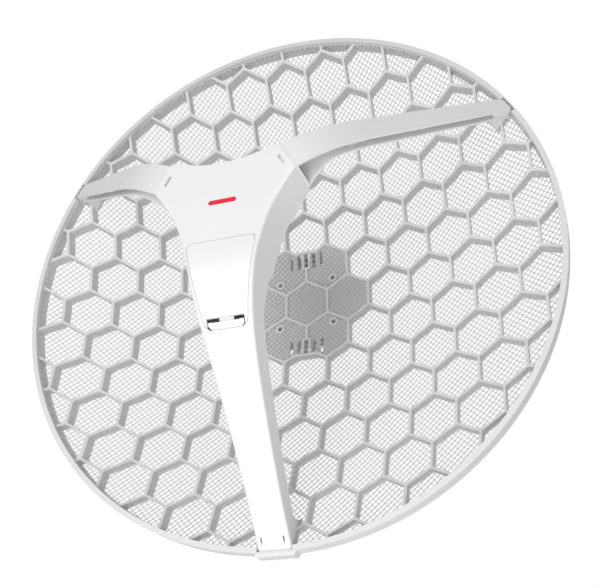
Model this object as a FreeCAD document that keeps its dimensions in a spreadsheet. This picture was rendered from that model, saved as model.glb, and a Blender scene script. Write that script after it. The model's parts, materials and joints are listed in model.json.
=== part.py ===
"""Parabolic grid antenna, in millimetres, +Z up, looking along -Y.

The origin is the centre of the mast clamp. Everything in front of the tilt bracket is drawn
with the dish's vertex at the origin and is then placed mast_offset in front of the mast.
"""
import FreeCAD, Part
import math
import os

import Sketcher
from FreeCAD import Placement, Rotation, Vector

os.makedirs("parts", exist_ok=True)
doc = FreeCAD.newDocument("grid_antenna")

# ---------------------------------------------------------------- driving dimensions

SIZES = [
    # the reflector
    ("dish_radius", 275, "outside of the rim"),
    ("focal_length", 218.2, "focal length of the paraboloid"),
    ("mast_offset", 72, "mast axis to dish vertex, forward"),
    ("mast_rise", 38, "middle of the clamp above the dish vertex"),
    ("cell_pitch", 45.33, "honeycomb cell, across flats"),
    ("rib_width", 2.6, "thickness of a honeycomb rib"),
    ("rib_depth", 12.5, "front to rear of a honeycomb rib"),
    ("rim_lip_width", 5, "flat front lip of the rim"),
    ("rim_wall", 2.4, "skirt and lip thickness"),
    ("rim_front", -87.6, "front of the lip, from the vertex"),
    ("rim_depth", 15.2, "front to rear of the skirt"),
    ("mesh_setback", 1.0, "wire mesh behind the ribs' front edges"),
    ("mesh_thickness", 0.5, "two crossed layers of wire"),
    ("floor_setback", 2.2, "centre plate behind the ribs' front edges"),
    ("floor_thickness", 2.2, "centre plate"),
    ("boss_radius", 4.6, "screw bosses of the centre plate"),
    ("screw_half_x", 29.2, "bracket screws, half of the spacing across"),
    ("screw_half_z", 25.3, "bracket screws, half of the spacing up and down"),
    ("pad_setback", 3.2, "landing pads behind the ribs' front edges"),
    # head, arms and leg
    ("shell_wall", 2.4, "moulded wall of the head"),
    ("head_front", -222, "front face of the head, from the vertex"),
    ("head_back", -181, "rear face of the head, from the vertex"),
    ("joint_radius", 66.3, "dish axis to the joint of head and arm"),
    ("arm_tip", 272.3, "dish axis to the end of an arm"),
    ("arm_root_width", 29.4, "arm width at the head"),
    ("arm_tip_width", 17.2, "arm width at the rim"),
    ("arm_tilt", 30, "arms above the horizontal, degrees"),
    ("leg_end", -273.4, "lower end of the leg"),
    ("fit_gap", 0.3, "gap round moulded parts that plug together"),
    # port door
    ("door_top", -41.5, "upper edge of the door"),
    ("door_bottom", -115, "lower edge of the door"),
    ("door_gap", 0.4, "gap round the door"),
    ("door_wall", 2.2, "thickness of the door"),
    ("latch_half_width", 16, "press tongue, half of its width"),
    ("latch_top", -109.5, "upper edge of the press tongue"),
    ("latch_slot_top", -106.2, "upper edge of the slot above the tongue"),
    # electronics
    ("board_y", -199, "front of the main board"),
    ("board_thickness", 1.6, "main board"),
    ("board_half_width", 28, "main board"),
    ("board_top", 30, "upper edge of the main board"),
    ("board_step", -43.8, "where the main board narrows"),
    ("board_neck", 18, "half width of the narrow end"),
    ("board_bottom", -78, "lower edge of the main board"),
    ("hole_half_x", 24.5, "board screws, half of the spacing across"),
    ("hole_top", 25, "upper board screws"),
    ("hole_bottom", -38, "lower board screws"),
    ("jack_width", 16.2, "network jack"),
    ("jack_height", 13.6, "network jack"),
    ("jack_length", 18, "network jack"),
    ("shield_side", 38, "shield can"),
    ("shield_height", 4, "shield can"),
    ("feed_side", 62, "ground plate of the feed"),
    ("patch_side", 25, "driven patch of the feed"),
    ("feed_y", -192.5, "front of the feed's ground plate"),
    ("patch_y", -186.2, "front of the driven patch"),
    # tilt bracket and mast clamp
    ("bracket_sheet", 3, "sheet of the tilt bracket"),
    ("bracket_half_width", 38, "base of the tilt bracket, wide part"),
    ("bracket_bottom", -82, "base of the tilt bracket, from the middle of the clamp"),
    ("bracket_step", -5, "where the base of the tilt bracket narrows"),
    ("bracket_top", 25, "upper end of the tilt bracket"),
    ("cheek_inside", 21.8, "inner face of a cheek, from the middle"),
    ("pivot_y", -43, "tilt pivot, from the mast axis"),
    ("slot_radius", 16, "lock bolt, from the pivot"),
    ("tilt_limit", 12, "tilt each way, degrees"),
    ("bolt_radius", 3, "M6 tilt bolts"),
    ("mast_radius", 25, "mast that the clamp holds"),
    ("saddle_half_width", 21.5, "mast saddle"),
    ("saddle_top", 27, "mast saddle"),
    ("saddle_bottom", -27, "mast saddle"),
    ("saddle_front", -51, "mast saddle"),
    ("saddle_back", -13.2, "ends of the mast saddle's jaws"),
    ("band_height", 10, "hose clamp band"),
    ("band_thickness", 0.8, "hose clamp band"),
    ("band_z", 16.5, "hose clamps, above and below the middle"),
    ("worm_radius", 3.6, "worm screw"),
    ("worm_y", 31.2, "worm screw, from the mast axis"),
]

sheet = doc.addObject("Spreadsheet::Sheet", "Sizes")
for row, (alias, value, note) in enumerate(SIZES, start=1):
    sheet.set(f"A{row}", alias)
    sheet.set(f"B{row}", str(value))
    sheet.set(f"C{row}", note)
    sheet.setAlias(f"B{row}", alias)
doc.recompute()


def size(alias):
    """One driving dimension, as a number."""
    return float(sheet.get(alias))


def number(expression):
    """The value of an expression on the sheet, as a number."""
    return float(sheet.evalExpression(expression))


ACROSS = Rotation(Vector(0, 1, 0), 90)
FORWARD = Rotation(Vector(1, 0, 0), 90)
REARWARD = Rotation(Vector(1, 0, 0), -90)
UPWARD = Rotation()

# ---------------------------------------------------------------- bound primitives


def bind(thing, sizes):
    for name, expression in sizes.items():
        thing.setExpression(name, str(expression))


def place(thing, at, turn=UPWARD):
    """Puts a thing at three expressions, turned by a fixed rotation."""
    thing.Placement = Placement(Vector(), turn)
    for axis, expression in zip("xyz", at):
        thing.setExpression(f"Placement.Base.{axis}", str(expression))


def box(name, corner, lengths):
    block = doc.addObject("Part::Box", name)
    bind(block, dict(zip(("Length", "Width", "Height"), lengths)))
    place(block, corner)
    return block


def cylinder(name, centre, turn, radius, length):
    rod = doc.addObject("Part::Cylinder", name)
    bind(rod, {"Radius": radius, "Height": length})
    place(rod, centre, turn)
    return rod


def hexagon(name, centre, turn, radius, length):
    bar = doc.addObject("Part::Prism", name)
    bar.Polygon = 6
    bind(bar, {"Circumradius": radius, "Height": length})
    place(bar, centre, turn)
    return bar


def fuse(name, pieces):
    joined = doc.addObject("Part::MultiFuse", name)
    joined.Shapes = pieces
    return joined


def cut(name, base, tools):
    result = doc.addObject("Part::Cut", name)
    result.Base = base
    result.Tool = tools[0] if len(tools) == 1 else fuse(name + "_tools", tools)
    return result


def group(name, pieces):
    """Identical separate solids in one node."""
    compound = doc.addObject("Part::Compound", name)
    compound.Links = pieces
    return compound


def shaped(name, shape):
    """A sub-part whose shape is computed here from the sheet's sizes."""
    feature = doc.addObject("Part::Feature", name)
    feature.Shape = shape
    return feature


nodes = []


def node(thing, label):
    """Names a finished sub-part that is drawn about the mast clamp."""
    thing.Label = label
    nodes.append(thing)


def dish_node(thing, label, y="0", z="0"):
    """Names a finished sub-part that is drawn about the dish's vertex, and puts it in place."""
    thing.setExpression("Placement.Base.y", f"{y} - Sizes.mast_offset")
    thing.setExpression("Placement.Base.z", f"{z} - Sizes.mast_rise")
    node(thing, label)


# ---------------------------------------------------------------- sketches and bodies


def origin_plane(body, role):
    return next(item for item in body.Origin.OriginFeatures if item.Role == role)


def sketch_on(body, name, role):
    sketch = body.newObject("Sketcher::SketchObject", name)
    sketch.AttachmentSupport = [(origin_plane(body, role), "")]
    sketch.MapMode = "FlatFace"
    return sketch


def fix_point(sketch, geometry, position, spot):
    """Ties one point of a sketch to a pair of expressions."""
    for kind, axis, expression in (("DistanceX", -2, spot[0]), ("DistanceY", -1, spot[1])):
        value = number(expression)
        if abs(value) < 1e-9:
            sketch.addConstraint(Sketcher.Constraint("PointOnObject", geometry, position, axis))
            continue
        rule = Sketcher.Constraint(kind, -1, 1, geometry, position, value)
        index = sketch.addConstraint(rule)
        sketch.setExpression(f"Constraints[{index}]", expression)


def add_polygon(sketch, corners):
    """A closed outline whose corners are pairs of expressions."""
    first = sketch.GeometryCount
    spots = [Vector(number(x), number(y), 0) for x, y in corners]
    count = len(spots)
    for start, end in zip(spots, spots[1:] + spots[:1]):
        sketch.addGeometry(Part.LineSegment(start, end), False)
    for step in range(count):
        after = first + (step + 1) % count
        sketch.addConstraint(Sketcher.Constraint("Coincident", first + step, 2, after, 1))
    for step, corner in enumerate(corners):
        fix_point(sketch, first + step, 1, corner)


def add_circle(sketch, centre, radius):
    spot = Vector(number(centre[0]), number(centre[1]), 0)
    circle = Part.Circle(spot, Vector(0, 0, 1), number(radius))
    geometry = sketch.addGeometry(circle, False)
    fix_point(sketch, geometry, 3, centre)
    index = sketch.addConstraint(Sketcher.Constraint("Radius", geometry, number(radius)))
    sketch.setExpression(f"Constraints[{index}]", radius)


def pad(body, sketch, length, reversed_=False, midplane=False):
    feature = body.newObject("PartDesign::Pad", sketch.Name + "_pad")
    feature.Profile = sketch
    feature.setExpression("Length", length)
    feature.Reversed = reversed_
    feature.Midplane = midplane
    body.Tip = feature
    return feature


def pocket_through(body, sketch):
    feature = body.newObject("PartDesign::Pocket", sketch.Name + "_cut")
    feature.Profile = sketch
    feature.Type = "ThroughAll"
    feature.Midplane = True
    body.Tip = feature
    return feature


def rectangle(left, right, low, high):
    return [(left, low), (right, low), (right, high), (left, high)]


# ---------------------------------------------------------------- shared curves

FOCAL = size("focal_length")
FAR = 400.0


def dish_y(radius, setback=0.0):
    """The paraboloid's place along Y, behind its front surface by setback."""
    return setback - radius * radius / (4 * FOCAL)


def front_y(radius):
    """Front face of head, arms and leg: flat over the head, a shoulder, then straight."""
    flat_end = 52.0
    slope_start = 136.0
    slope = 0.745
    slope_y = -188.2
    if radius <= flat_end:
        return size("head_front")
    if radius >= slope_start:
        return slope_y + slope * (radius - slope_start)
    share = (radius - flat_end) / (slope_start - flat_end)
    run = slope_start - flat_end
    blend = share * share
    flat_part = size("head_front")
    bend = (slope_y - flat_part) - slope * run / 2
    return flat_part + slope * run * blend / 2 + bend * blend * (3 - 2 * share)


def spline(points):
    curve = Part.BSplineCurve()
    curve.interpolate([Vector(*point) for point in points])
    return curve.toShape()


def polyline(points):
    return Part.makePolygon([Vector(*point) for point in points])


def prism(wire, depth):
    """A solid from a closed wire, drawn out along a vector."""
    return Part.Face(wire).extrude(Vector(*depth))


def plate(points_xz, low_y=-FAR, high_y=FAR):
    """An outline of X and Z, drawn out along Y."""
    corners = [(x, low_y, z) for x, z in points_xz]
    return prism(polyline(corners + corners[:1]), (0, high_y - low_y, 0))


def bowl(outer_radius, front, back):
    """The slice of the paraboloid between two setbacks, out to a radius."""
    steps = 12
    radii = [outer_radius * step / steps for step in range(steps + 1)]
    front_edge = spline([(r, dish_y(r, front), 0) for r in radii])
    back_edge = spline([(r, dish_y(r, back), 0) for r in radii])
    rim = polyline([(outer_radius, dish_y(outer_radius, front), 0),
                    (outer_radius, dish_y(outer_radius, back), 0)])
    axis = polyline([(0, back, 0), (0, front, 0)])
    face = Part.Face(Part.Wire([front_edge, rim, back_edge, axis]))
    return face.revolve(Vector(), Vector(0, 1, 0), 360)


def landing_frames():
    """The three places round the rim where the arms and the leg land, as angles."""
    tilt = size("arm_tilt")
    return (tilt, 180 - tilt, 270)


def turned(shape, angle):
    """A shape drawn along +X, turned about the dish's axis to an angle above +X."""
    copy = shape.copy()
    copy.rotate(Vector(), Vector(0, 1, 0), -angle)
    return copy


# ---------------------------------------------------------------- the reflector

PITCH = size("cell_pitch")
ROW_STEP = PITCH * math.sqrt(3) / 2
CELL_RADIUS = (PITCH - size("rib_width")) / math.sqrt(3)
PLATE_CELLS = [(0.0, 0.0)] + [
    (PITCH * math.cos(math.radians(60 * turn)), PITCH * math.sin(math.radians(60 * turn)))
    for turn in range(6)]
SLOT_XS = (-16.5, -8.2, 0, 8.2, 16.5)
SLOT_LOW = 42.0
SLOT_HIGH = 57.5
FRAME_HALF = 4.4
CLOSING_RIB_Z = 59.4
SHROUD_HALF = 11
SHROUD_DEPTH = 10
BRACKET_SCREW_HOLE = 2.55


def cell_centres():
    """Honeycomb cells whose opening reaches inside the rim."""
    reach = size("dish_radius") - size("rim_lip_width")
    rows = int(reach / ROW_STEP) + 1
    for row in range(-rows, rows + 1):
        for column in range(-8, 9):
            x = PITCH * (column + (row % 2) / 2)
            z = ROW_STEP * row
            if math.hypot(x, z) < reach + CELL_RADIUS - 6:
                yield x, z


def cell_outline(centre, radius):
    return [(centre[0] + radius * math.sin(math.radians(60 * turn)),
             centre[1] + radius * math.cos(math.radians(60 * turn))) for turn in range(6)]


def landing_area(arm_start, arm_half, leg_start, leg_half, outer):
    """Blocks over the two arms' and the leg's landing places, out to one radius."""
    arm, leg = [plate([(start, -half), (outer, -half), (outer, half), (start, half)])
                for start, half in ((arm_start, arm_half), (leg_start, leg_half))]
    return [turned(block, angle) for block, angle in zip((arm, arm, leg), landing_frames())]


def make_rim():
    """Lip and skirt, with the small tab that the leg's snap holds."""
    outer = size("dish_radius")
    wall = size("rim_wall")
    front = size("rim_front")
    inner = outer - size("rim_lip_width")
    back = front + size("rim_depth")
    profile = [(inner, front), (outer, front), (outer, back), (outer - wall, back),
               (outer - wall, front + wall), (inner, front + wall), (inner, front)]
    face = Part.Face(polyline([(r, y, 0) for r, y in profile]))
    rim = face.revolve(Vector(), Vector(0, 1, 0), 360)
    tab = plate([(-17, -outer - 3), (17, -outer - 3), (20, -outer + 2), (-20, -outer + 2)],
                front + wall, back)
    return rim.fuse(tab)


def make_dish():
    outer = size("dish_radius") - size("rim_wall") + 0.4
    clear = size("dish_radius") - size("rim_lip_width")
    inside = Part.makeCylinder(clear, 2 * FAR, Vector(0, -FAR, 0), Vector(0, 1, 0))
    tools = []
    for centre in cell_centres():
        cell = plate(cell_outline(centre, CELL_RADIUS))
        if math.hypot(*centre) + CELL_RADIUS > clear:
            cell = cell.common(inside)
        tools.append(cell)
    grid = bowl(outer, 0, size("rib_depth")).cut(tools)
    grid = grid.fuse([make_floor(), make_pads(), make_rim()])
    grid = grid.cut(screw_holes() + slot_cuts() + rim_notches() + pad_slots())
    return grid.fuse(make_frames()).removeSplitter()


def make_floor():
    """The centre plate behind seven cells, with its bosses and the boxes behind its slots."""
    front = size("floor_setback")
    slab = bowl(1.8 * PITCH, front, front + size("floor_thickness"))
    cells = [plate(cell_outline(centre, PITCH / math.sqrt(3))) for centre in PLATE_CELLS]
    closing = [(-12.6, CLOSING_RIB_Z), (12.6, CLOSING_RIB_Z), (12.6, 40), (-12.6, 40)]
    cells.append(plate(closing))
    cells.append(plate([(x, -z) for x, z in closing]))
    outline = cells[0].fuse(cells[1:])
    shrouds = []
    for side in (1, -1):
        low, high = sorted((side * (SLOT_LOW - 1.4), side * (SLOT_HIGH + 1)))
        corner = Vector(-SHROUD_HALF, 0.2, low)
        shrouds.append(Part.makeBox(2 * SHROUD_HALF, SHROUD_DEPTH, high - low, corner))
    bosses = [Part.makeCylinder(size("boss_radius"), size("rib_depth") + 1.4,
                                Vector(x, -1.4, z), Vector(0, 1, 0))
              for x, z in screw_places()]
    return slab.common(outline).fuse(bosses + shrouds)


def screw_places():
    x = size("screw_half_x")
    z = size("screw_half_z")
    return [(-x, -z), (x, -z), (-x, z), (x, z)]


def screw_holes():
    return [Part.makeCylinder(BRACKET_SCREW_HOLE, 40, Vector(x, -20, z), Vector(0, 1, 0))
            for x, z in screw_places()]


def slot_cuts():
    """Ventilation slots above and below the middle of the centre plate."""
    cuts = []
    for side in (1, -1):
        low, high = sorted((side * SLOT_LOW, side * SLOT_HIGH))
        for x in SLOT_XS:
            half = 1.9 if abs(x) < 10 else 1.6
            cuts.append(plate([(x - half, low), (x + half, low), (x + half, high),
                               (x - half, high)]))
    return cuts


def make_frames():
    """Small ribs that frame the middle slots and close the plate above and below."""
    half = size("rib_width") / 2
    ribs = []
    for side in (1, -1):
        for left, right, low, high in (
                (-12.6, 12.6, CLOSING_RIB_Z - half, CLOSING_RIB_Z + half),
                (-FRAME_HALF, -FRAME_HALF + 1.8, SLOT_LOW - 2, CLOSING_RIB_Z),
                (FRAME_HALF - 1.8, FRAME_HALF, SLOT_LOW - 2, CLOSING_RIB_Z),
                (-FRAME_HALF, FRAME_HALF, SLOT_LOW - 2, SLOT_LOW)):
            corners = [(left, side * low), (right, side * low), (right, side * high),
                       (left, side * high)]
            ribs.append(plate(corners))
    band = bowl(1.8 * PITCH, 0, size("rib_depth") - 1)
    return [rib.common(band) for rib in ribs]


def make_pads():
    """Floors between the rim and the nearest ribs where the arms and the leg land."""
    front = size("pad_setback")
    slab = bowl(size("dish_radius") - 2, front, front + 2.4)
    areas = landing_area(252, 8.5, 243, 17, size("dish_radius") - 2)
    pads = [slab.common(area) for area in areas]
    return pads[0].fuse(pads[1:])


def rim_notches():
    """The lip is lowered where the ends of the arms and the leg lie in it."""
    outer = size("arm_tip") + 1.4
    low = Part.makeBox(30, 15, 18.6, Vector(outer - 30, -95, -9.3))
    wide = Part.makeBox(30, 15, 32.4, Vector(outer - 30, -95, -16.2))
    angles = landing_frames()
    return [turned(low, angles[0]), turned(low, angles[1]), turned(wide, angles[2])]


def pad_slots():
    """Slots in the pads that the hooks of the arms and the leg pass through."""
    slot = plate([(256, -5.5), (260.5, -5.5), (260.5, 5.5), (256, 5.5)])
    return [turned(slot, angle) for angle in landing_frames()]


def mesh_cutouts():
    """The mesh stops short of the feet of the arms and the leg."""
    return landing_area(248, 10.5, 245, 17, size("dish_radius"))


dish_node(shaped("Dish", make_dish()), "dish_grid")

mesh_outer = size("dish_radius") - size("rim_lip_width") + 1.5
mesh_shape = bowl(mesh_outer, size("mesh_setback"),
                  size("mesh_setback") + size("mesh_thickness"))
mesh_shape = mesh_shape.cut(screw_holes() + slot_cuts() + mesh_cutouts())
dish_node(shaped("Mesh", mesh_shape), "reflector_mesh")

# ---------------------------------------------------------------- arms

WALL = size("shell_wall")
ROOT = size("joint_radius")
TIP = size("arm_tip")
RECESS = 7.0


def arm_rear_y(radius):
    """Rear flange of an arm: deep at the head, slim along the slope."""
    slim = 12.0 * (radius - 105) / (TIP - 105) + 14.5 * (TIP - radius) / (TIP - 105)
    if radius >= 105:
        return front_y(radius) + slim
    share = (105 - radius) / (105 - ROOT)
    return front_y(radius) + 14.5 + 21.5 * share ** 1.6


def arm_side(front_in, rear_in, start, end):
    """Side view of an arm between two radii, drawn in by a wall front and rear."""
    steps = 14
    radii = [start + (end - start) * step / steps for step in range(steps + 1)]
    front = [(r, front_y(r) + front_in, 0) for r in radii]
    rear = [(r, arm_rear_y(r) - rear_in, 0) for r in radii]
    edges = [spline(front), polyline([front[-1], rear[-1]]), spline(rear),
             polyline([rear[0], front[0]])]
    wire = Part.Wire(edges)
    wire.translate(Vector(0, 0, -60))
    return prism(wire, (0, 0, 120))


def arm_edge(radius, upper):
    """Upper or lower edge of an arm in front view, seen along its own axis."""
    share = (radius - ROOT) / (TIP - ROOT)
    middle = -3.0 + 3.7 * share
    width = size("arm_root_width") * (1 - share) + size("arm_tip_width") * share
    return middle + (width / 2 if upper else -width / 2)


def truss(start, apexes, end):
    """Zigzag ribs between the front plate and the rear flange."""
    thickness = 1.8
    points = [(start, True)]
    for apex, after in zip(apexes, apexes[1:] + (end,)):
        points.append((apex, False))
        points.append((end if after == end else (apex + after) / 2, True))
    ribs = []
    for (r0, front0), (r1, front1) in zip(points, points[1:]):
        y0 = front_y(r0) + 1 if front0 else arm_rear_y(r0) - 1
        y1 = front_y(r1) + 1 if front1 else arm_rear_y(r1) - 1
        length = math.hypot(r1 - r0, y1 - y0)
        nx, ny = -(y1 - y0) / length * thickness / 2, (r1 - r0) / length * thickness / 2
        corners = [(r0 + nx, y0 + ny, -60), (r1 + nx, y1 + ny, -60), (r1 - nx, y1 - ny, -60),
                   (r0 - nx, y0 - ny, -60)]
        ribs.append(prism(polyline(corners + corners[:1]), (0, 0, 120)))
    return ribs


def make_arm():
    """An arm along +X with its open side below, before it is turned into place."""
    outline = [(ROOT, arm_edge(ROOT, False)), (TIP - 2.5, arm_edge(TIP, False)),
               (TIP, arm_edge(TIP, False) + 2.5), (TIP, arm_edge(TIP, True) - 2.5),
               (TIP - 2.5, arm_edge(TIP, True)), (ROOT, arm_edge(ROOT, True))]
    outer = plate(outline).common(arm_side(0, 0, ROOT, TIP))
    hollow_start = ROOT + 2
    hollow_end = TIP - 3
    inside = [(hollow_start, -60), (hollow_end, -60), (hollow_end, arm_edge(TIP, True) - 2.2),
              (hollow_start, arm_edge(ROOT, True) - 2.2)]
    hollow = plate(inside).common(arm_side(2.6, 2.2, hollow_start, hollow_end))
    shell = outer.cut(hollow)
    recessed = [(ROOT, arm_edge(ROOT, False) + RECESS), (TIP, arm_edge(TIP, False) + RECESS),
                (TIP, arm_edge(TIP, True) - 1), (ROOT, arm_edge(ROOT, True) - 1)]
    room = plate(recessed).common(arm_side(1, 1, ROOT + 1, TIP - 1))
    ribs = [rib.common(room) for rib in truss(96, (125, 180, 234), 258)]
    shell = shell.fuse(ribs)
    return shell.fuse([make_plug(), make_foot(TIP, 6.5, 252)]).removeSplitter()


def make_plug():
    """Square tube at the arm's root that slides into the head."""
    gap = size("fit_gap")
    low = arm_edge(ROOT, False) + WALL + gap
    high = arm_edge(ROOT, True) - WALL - gap
    front = size("head_front") + WALL + gap + 0.4
    back = size("head_back") - 6.5
    tube = Part.makeBox(15, back - front, high - low, Vector(ROOT - 13, front, low))
    bore = Part.makeBox(30, back - front - 4, high - low - 4,
                        Vector(ROOT - 14, front + 2, low + 2))
    return tube.cut(bore)


def make_foot(end, half_width, start):
    """Block that stands on the landing pad, and the hook that passes through its slot."""
    pad_top = size("pad_setback") - 0.15
    steps = 4
    radii = [start + (end - 3.5 - start) * step / steps for step in range(steps + 1)]
    top = [(r, front_y(r) + 1.5, 0) for r in radii]
    low = [(r, dish_y(r, pad_top), 0) for r in radii]
    wire = Part.Wire([spline(top), polyline([top[-1], low[-1]]), spline(low),
                      polyline([low[0], top[0]])])
    wire.translate(Vector(0, 0, -half_width))
    block = prism(wire, (0, 0, 2 * half_width))
    inside = plate([(start + 2, -half_width + 2), (end - 5.5, -half_width + 2),
                    (end - 5.5, half_width - 2), (start + 2, half_width - 2)], -80, 0)
    hook_x = 256.4
    hook = Part.makeBox(2, 20, 9, Vector(hook_x, dish_y(hook_x) - 6, -4.5))
    barb_y = dish_y(hook_x, size("pad_setback") + 2.4) + 0.9
    barb = Part.makeBox(3.6, 1.6, 9, Vector(hook_x, barb_y, -4.5))
    trim = Part.makeBox(20, 20, 20, Vector(hook_x - 8, barb_y + 1.6, -10))
    return block.cut(inside).fuse(hook.cut(trim)).fuse(barb)


arm = make_arm()
right_arm = turned(arm, size("arm_tilt"))
left_arm = right_arm.mirror(Vector(), Vector(1, 0, 0))
dish_node(shaped("RightArm", right_arm), "right_arm")
dish_node(shaped("LeftArm", left_arm), "left_arm")

# ---------------------------------------------------------------- head and leg

LEG_CURVE = [(54.4, 0), (43.5, -20), (37, -40), (31.9, -60), (28.4, -80), (25.4, -100),
             (22.4, -125), (19.9, -150), (17.3, -190), (15.7, -230)]
LEG_HALF = 15.6
HUB_BACK_END = -62.0
HUB_TOP = 41.5
LEG_REAR_START = -100.0
BULKHEAD_Z = -119.0
LEG_DEPTH = 25.0
FOOT_SLIT_X = 10.3


def joint_corner(upper):
    """Corner of the joint line between the head and the right arm."""
    angle = math.radians(size("arm_tilt"))
    edge = arm_edge(ROOT, upper)
    return (ROOT * math.cos(angle) - edge * math.sin(angle),
            ROOT * math.sin(angle) + edge * math.cos(angle))


def head_outline(inset=0.0, joint_reach=0.0):
    """Front view of the head and leg, as one closed wire, drawn in by inset."""
    foot = size("leg_end")
    angle = math.radians(size("arm_tilt"))
    step = (joint_reach * math.cos(angle), joint_reach * math.sin(angle))
    high = joint_corner(True)
    low = joint_corner(False)
    slide = (inset * math.sin(angle), -inset * math.cos(angle))
    high = (high[0] + slide[0], high[1] + slide[1])
    low = (low[0] - slide[0], low[1] - slide[1])
    top = [(low[0], low[1]), (low[0] + step[0], low[1] + step[1]),
           (high[0] + step[0], high[1] + step[1]), (high[0], high[1])]
    right = [low] + [(x - inset, z) for x, z in LEG_CURVE] + [(LEG_HALF - inset, foot)]
    crown = [high, (33, 40 - inset), (17, 36.6 - inset), (0, 36 - inset),
             (-17, 36.6 - inset), (-33, 40 - inset), (-high[0], high[1])]
    left = [(-x, z) for x, z in right]
    edges = [spline([(x, 0, z) for x, z in right]), spline([(x, 0, z) for x, z in crown]),
             spline([(x, 0, z) for x, z in left]),
             polyline([(right[-1][0], 0, foot), (left[-1][0], 0, foot)])]
    if joint_reach:
        edges.append(polyline([(x, 0, z) for x, z in top]))
        edges.append(polyline([(-x, 0, z) for x, z in top]))
    else:
        edges.append(polyline([(low[0], 0, low[1]), (high[0], 0, high[1])]))
        edges.append(polyline([(-low[0], 0, low[1]), (-high[0], 0, high[1])]))
    pieces = [edge for wire in edges for edge in wire.Edges]
    return Part.Wire(Part.__sortEdges__(pieces))


def head_block(inset=0.0, joint_reach=0.0):
    """The head's outline drawn out along Y; its stubs may end before or past the joints."""
    wire = head_outline(inset, max(joint_reach, 0))
    wire.translate(Vector(0, -FAR, 0))
    block = prism(wire, (0, 2 * FAR, 0))
    if joint_reach >= 0:
        return block
    start = ROOT + joint_reach
    beyond = plate([(start, -60), (start + 60, -60), (start + 60, 60), (start, 60)])
    beyond = turned(beyond, size("arm_tilt"))
    return block.cut([beyond, beyond.mirror(Vector(), Vector(1, 0, 0))])


def leg_rear_y(z):
    return front_y(-z) + LEG_DEPTH


def head_side(front_in, low_z, high_z, rear):
    """Side view of the head between two heights; rear lists the corners behind, top down."""
    steps = 20
    heights = [high_z + (low_z - high_z) * step / steps for step in range(steps + 1)]
    front = spline([(0, front_y(-z) + front_in, z) for z in heights])
    start = (0, front_y(-high_z) + front_in, high_z)
    end = (0, front_y(-low_z) + front_in, low_z)
    back = polyline([start] + [(0, y, z) for y, z in rear] + [end])
    wire = Part.Wire(Part.__sortEdges__(front.Edges + back.Edges))
    wire.translate(Vector(-100, 0, 0))
    return prism(wire, (200, 0, 0))


def head_solid():
    """Outer form of the head and leg."""
    back = size("head_back")
    foot = size("leg_end")
    ankle = -243.0
    rear = [(back, 60), (back, HUB_BACK_END), (-186, HUB_BACK_END - 6),
            (-186, LEG_REAR_START + 16), (leg_rear_y(LEG_REAR_START), LEG_REAR_START),
            (leg_rear_y(ankle), ankle),
            (dish_y(247, size("pad_setback") - 0.2), -247),
            (dish_y(268.5, size("pad_setback") - 0.2), -268.5), (-83.2, -269.2),
            (-83.2, foot)]
    return head_block().common(head_side(0, foot, 60, rear))


def rounded_front(solid, radius):
    """Rounds the long edges between the front face and the side walls."""
    chosen = []
    for edge in solid.Edges:
        first, last = edge.ParameterRange
        middle = edge.valueAt((first + last) / 2)
        on_front = abs(middle.y - front_y(max(0.0, -middle.z))) < 0.4
        long_enough = edge.Length > 20
        if on_front and long_enough and abs(middle.x) > 5 and middle.z < 30:
            chosen.append(edge)
    try:
        rounded = solid.makeFillet(radius, chosen)
    except Part.OCCError:
        return solid
    return rounded if rounded.isValid() else solid


GRIP_RADIUS = 3.0
GRIP_HALF = 12.0
GRIP_DEPTH = 0.7
DOOR_SIDE = [(31.2, -47), (27.8, -65), (24.8, -80), (22.2, -95), (20.0, -108)]


def door_outline(grow=0.0):
    """Front view of the port door, with rounded corners."""
    top = size("door_top") + grow
    bottom = size("door_bottom") - grow
    right = [(x + grow, z) for x, z in DOOR_SIDE]
    corners = [(-26.5, top), (26.5, top), (30.3 + grow, top - 1.8)] + right
    corners += [(18.6 + grow, bottom + 3.2), (14.6, bottom), (-14.6, bottom),
                (-18.6 - grow, bottom + 3.2)]
    corners += [(-x, z) for x, z in reversed(right)]
    corners += [(-30.3 - grow, top - 1.8)]
    return corners


def front_skin(depth, low_z, high_z, start=0.0):
    """The front face of the head as a skin of even depth."""
    steps = 12
    heights = [high_z + (low_z - high_z) * step / steps for step in range(steps + 1)]
    front = spline([(0, front_y(-z) + start, z) for z in heights])
    back = spline([(0, front_y(-z) + start + depth, z) for z in heights])
    ends = [polyline([(0, front_y(-z) + start, z), (0, front_y(-z) + start + depth, z)])
            for z in (low_z, high_z)]
    edges = front.Edges + back.Edges + ends[0].Edges + ends[1].Edges
    wire = Part.Wire(Part.__sortEdges__(edges))
    wire.translate(Vector(-100, 0, 0))
    return prism(wire, (200, 0, 0))


def slot_block(half_width, low_z, high_z):
    return plate([(-half_width, low_z), (half_width, low_z), (half_width, high_z),
                  (-half_width, high_z)])


def release_slit():
    """Slot beside the right joint that frees the arm's snap."""
    slit = Part.makeBox(2.6, 6, 10.5, Vector(ROOT - 7.4, size("head_front") - 1, -8.2))
    return turned(slit, size("arm_tilt"))


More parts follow.
